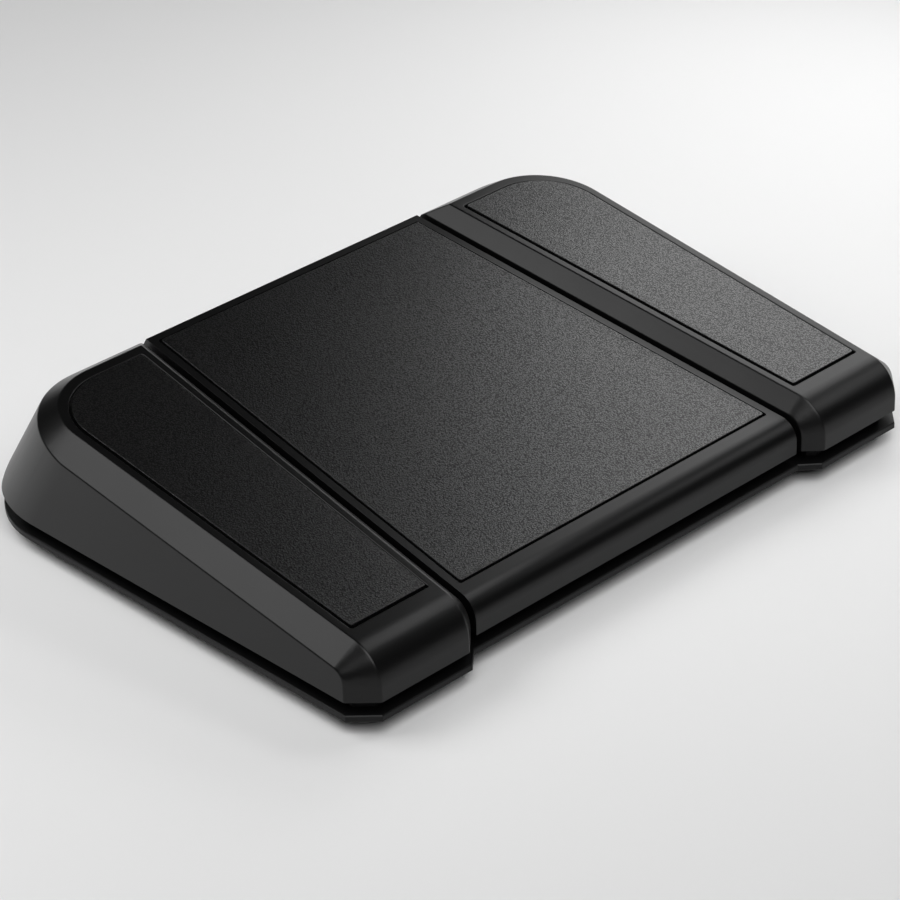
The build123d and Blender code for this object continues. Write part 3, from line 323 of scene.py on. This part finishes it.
def outer_edges(shape):
    """The convex edges that face the open, seen from outside and not from below."""
    walls = BVHTree.FromBMesh(shape)
    outer = []
    for edge in shape.edges:
        out = (edge.link_faces[0].normal + edge.link_faces[1].normal).normalized()
        middle = (edge.verts[0].co + edge.verts[1].co) / 2
        convex = edge.calc_face_angle_signed() > corner_angle
        wall = walls.ray_cast(middle + out * clear_distance, out)[0]
        if convex and out.z > lowest_outlook and wall is None:
            outer.append(edge)
    return outer


def rounded(name, body, finish, width, lift=(0, 0, 0), inset=0.0):
    """A copy of a node with its outer edges rounded over, drawn in and lifted, shown for it."""
    shape = merged(name)
    bmesh.ops.bevel(
        shape,
        geom=outer_edges(shape),
        affect="EDGES",
        offset=width,
        segments=3,
        profile=0.5,
        material=-1,
        clamp_overlap=True,
    )
    middle, reach = span(shape)
    drawn = Matrix.Diagonal([1 - inset / reach[0], 1 - inset / reach[1], 1, 1])
    bmesh.ops.transform(shape, matrix=drawn, space=Matrix.Translation(-middle), verts=shape.verts)
    bmesh.ops.translate(shape, verts=shape.verts, vec=lift)
    stand_in(shape, name, "_rounded", body, finish)


pedal_edge = 0.00045
pedal = Finish("pedal_moulding", color=(0.002, 0.002, 0.0021), roughness=0.33, specular=0.28)
pedal_grain = pedal.noise(scale=3400, detail=2.0, roughness=0.5)
pedal_marks = pedal.noise(scale=22, detail=5.0, roughness=0.55)
pedal.tint(pedal_marks, low=0.85, high=1.15)
pedal.rough(pedal_marks, spread=0.1)
pedal.relief(pedal_grain, distance=0.00002, strength=0.5)
for side in ("left", "center", "right"):
    rounded(f"{side}_pedal", f"{side}_pedal_body", pedal, pedal_edge)

# Grip pads
# Moulded in black plastic with a dense pebbled grain that grips a sole, and let into the pedals. Each
# pebble carries painted light: lighter at its centre, darker towards its edge.
# They stand a little proud of the rims around them, which hides the grooves on their far sides.
pad_edge = 0.0002
pad_inset = 0.0002
pad_proud = 0.0006
pad_slope = radians(8.8)
pad_lift = Vector((0, -sin(pad_slope), cos(pad_slope))) * pad_proud
grip = Finish(
    "grip_grain", color=(0.0018, 0.0018, 0.0019), roughness=0.36, coat_roughness=0.34, specular=0.32
)
pebbles_and_painted_shade = grip.cells(scale=1950)
grip_marks = grip.noise(scale=16, detail=5.0, roughness=0.6)
# Painted highlight and painted shade: each pebble is painted lighter at its centre and darker towards its
# edge.
grip.tint(pebbles_and_painted_shade.band(0.1, 0.7), low=1.3, high=0.6)
grip.rough(grip_marks, spread=0.08)
grip.feed("Coat Weight", pebbles_and_painted_shade.band(0.62, 0.2))
grip.relief(pebbles_and_painted_shade, distance=0.0001, strength=0.8)
grip.relief(grip.noise(scale=3200, detail=2.0), distance=0.00003, strength=0.7)
for side in ("left", "center", "right"):
    rounded(f"{side}_grip_pad", f"{side}_pedal_body", grip, pad_edge, pad_lift, pad_inset)

# Floor
# A wide sheet of plain pale paper under the part, flat and matt, that takes its soft shadow.
# It is only there for the pictures.
floor_reach = 6
floor_mesh = bmesh.new()
bmesh.ops.create_grid(floor_mesh, x_segments=1, y_segments=1, size=floor_reach)
floor_data = bpy.data.meshes.new("floor")
floor_mesh.to_mesh(floor_data)
floor_mesh.free()
floor = bpy.data.objects.new("floor", floor_data)
bpy.context.scene.collection.objects.link(floor)
paper = Finish("pale_floor", color=(0.8, 0.8, 0.8), roughness=0.9)
paper.tint(paper.noise(scale=3, detail=2.0), low=0.985, high=1.0)
floor_data.materials.append(paper.material)

# Studio light
# A large soft light from the front left lights the whole part and the floor. Small ones near the
# part give the sheen that runs over the pads, the nose, the left bevel and the rear edges.
world = bpy.data.worlds.new("studio")
world.use_nodes = True
world.node_tree.nodes["Background"].inputs["Color"].default_value = (1, 1, 1, 1)
world.node_tree.nodes["Background"].inputs["Strength"].default_value = 0.02
bpy.context.scene.world = world


def lamp(name, place, aim, width, height, power):
    """A soft rectangular light that faces a point."""
    data = bpy.data.lights.new(name, "AREA")
    data.shape = "RECTANGLE"
    data.size = width
    data.size_y = height
    data.energy = power
    light = bpy.data.objects.new(name, data)
    bpy.context.scene.collection.objects.link(light)
    light.location = place
    light.rotation_euler = (Vector(aim) - Vector(place)).to_track_quat("-Z", "Y").to_euler()


lamp("high_softbox", (-1.5, -2.25, 3.75), (0, 0, 0), width=3.6, height=3.6, power=153)
lamp("right_softbox", (0.375, 0.095, 0.26), (0.05, 0, 0.03), width=0.28, height=0.24, power=0.64)
lamp("front_right_softbox", (0.34, -0.21, 0.26), (0.1, -0.08, 0.03), width=0.22, height=0.12, power=0.16)
lamp("left_softbox", (-0.37, 0.25, 0.47), (-0.11, 0, 0.03), width=0.35, height=0.35, power=1.5)
lamp("nose_strip", (0.085, -0.1, 0.27), (-0.09, -0.08, 0.03), width=0.16, height=0.07, power=0.12)
lamp("horizon_strip", (1.05, 1.1, 0.12), (0, 0, 0.04), width=1.4, height=0.24, power=2.6)

# Camera
# It stands at the photograph's angle: 43 degrees to the left of the front and 30 degrees up, with
# a long lens and a slight roll.
camera_place = Vector((-0.6319, -0.6752, 0.5466))
azimuth = radians(-43.33)
elevation = radians(30.21)
roll = radians(-2.0)
ahead = Vector((-sin(azimuth) * cos(elevation), cos(azimuth) * cos(elevation), -sin(elevation)))
camera_data = bpy.data.cameras.new("camera")
camera_data.sensor_width = 36
camera_data.lens = 136.8
camera = bpy.data.objects.new("camera", camera_data)
bpy.context.scene.collection.objects.link(camera)
turn = ahead.to_track_quat("-Z", "Y").to_matrix().to_4x4()
camera.matrix_world = Matrix.Translation(camera_place) @ turn @ Matrix.Rotation(roll, 4, "Z")
bpy.context.scene.camera = camera
bpy.context.scene.view_settings.view_transform = "Standard"
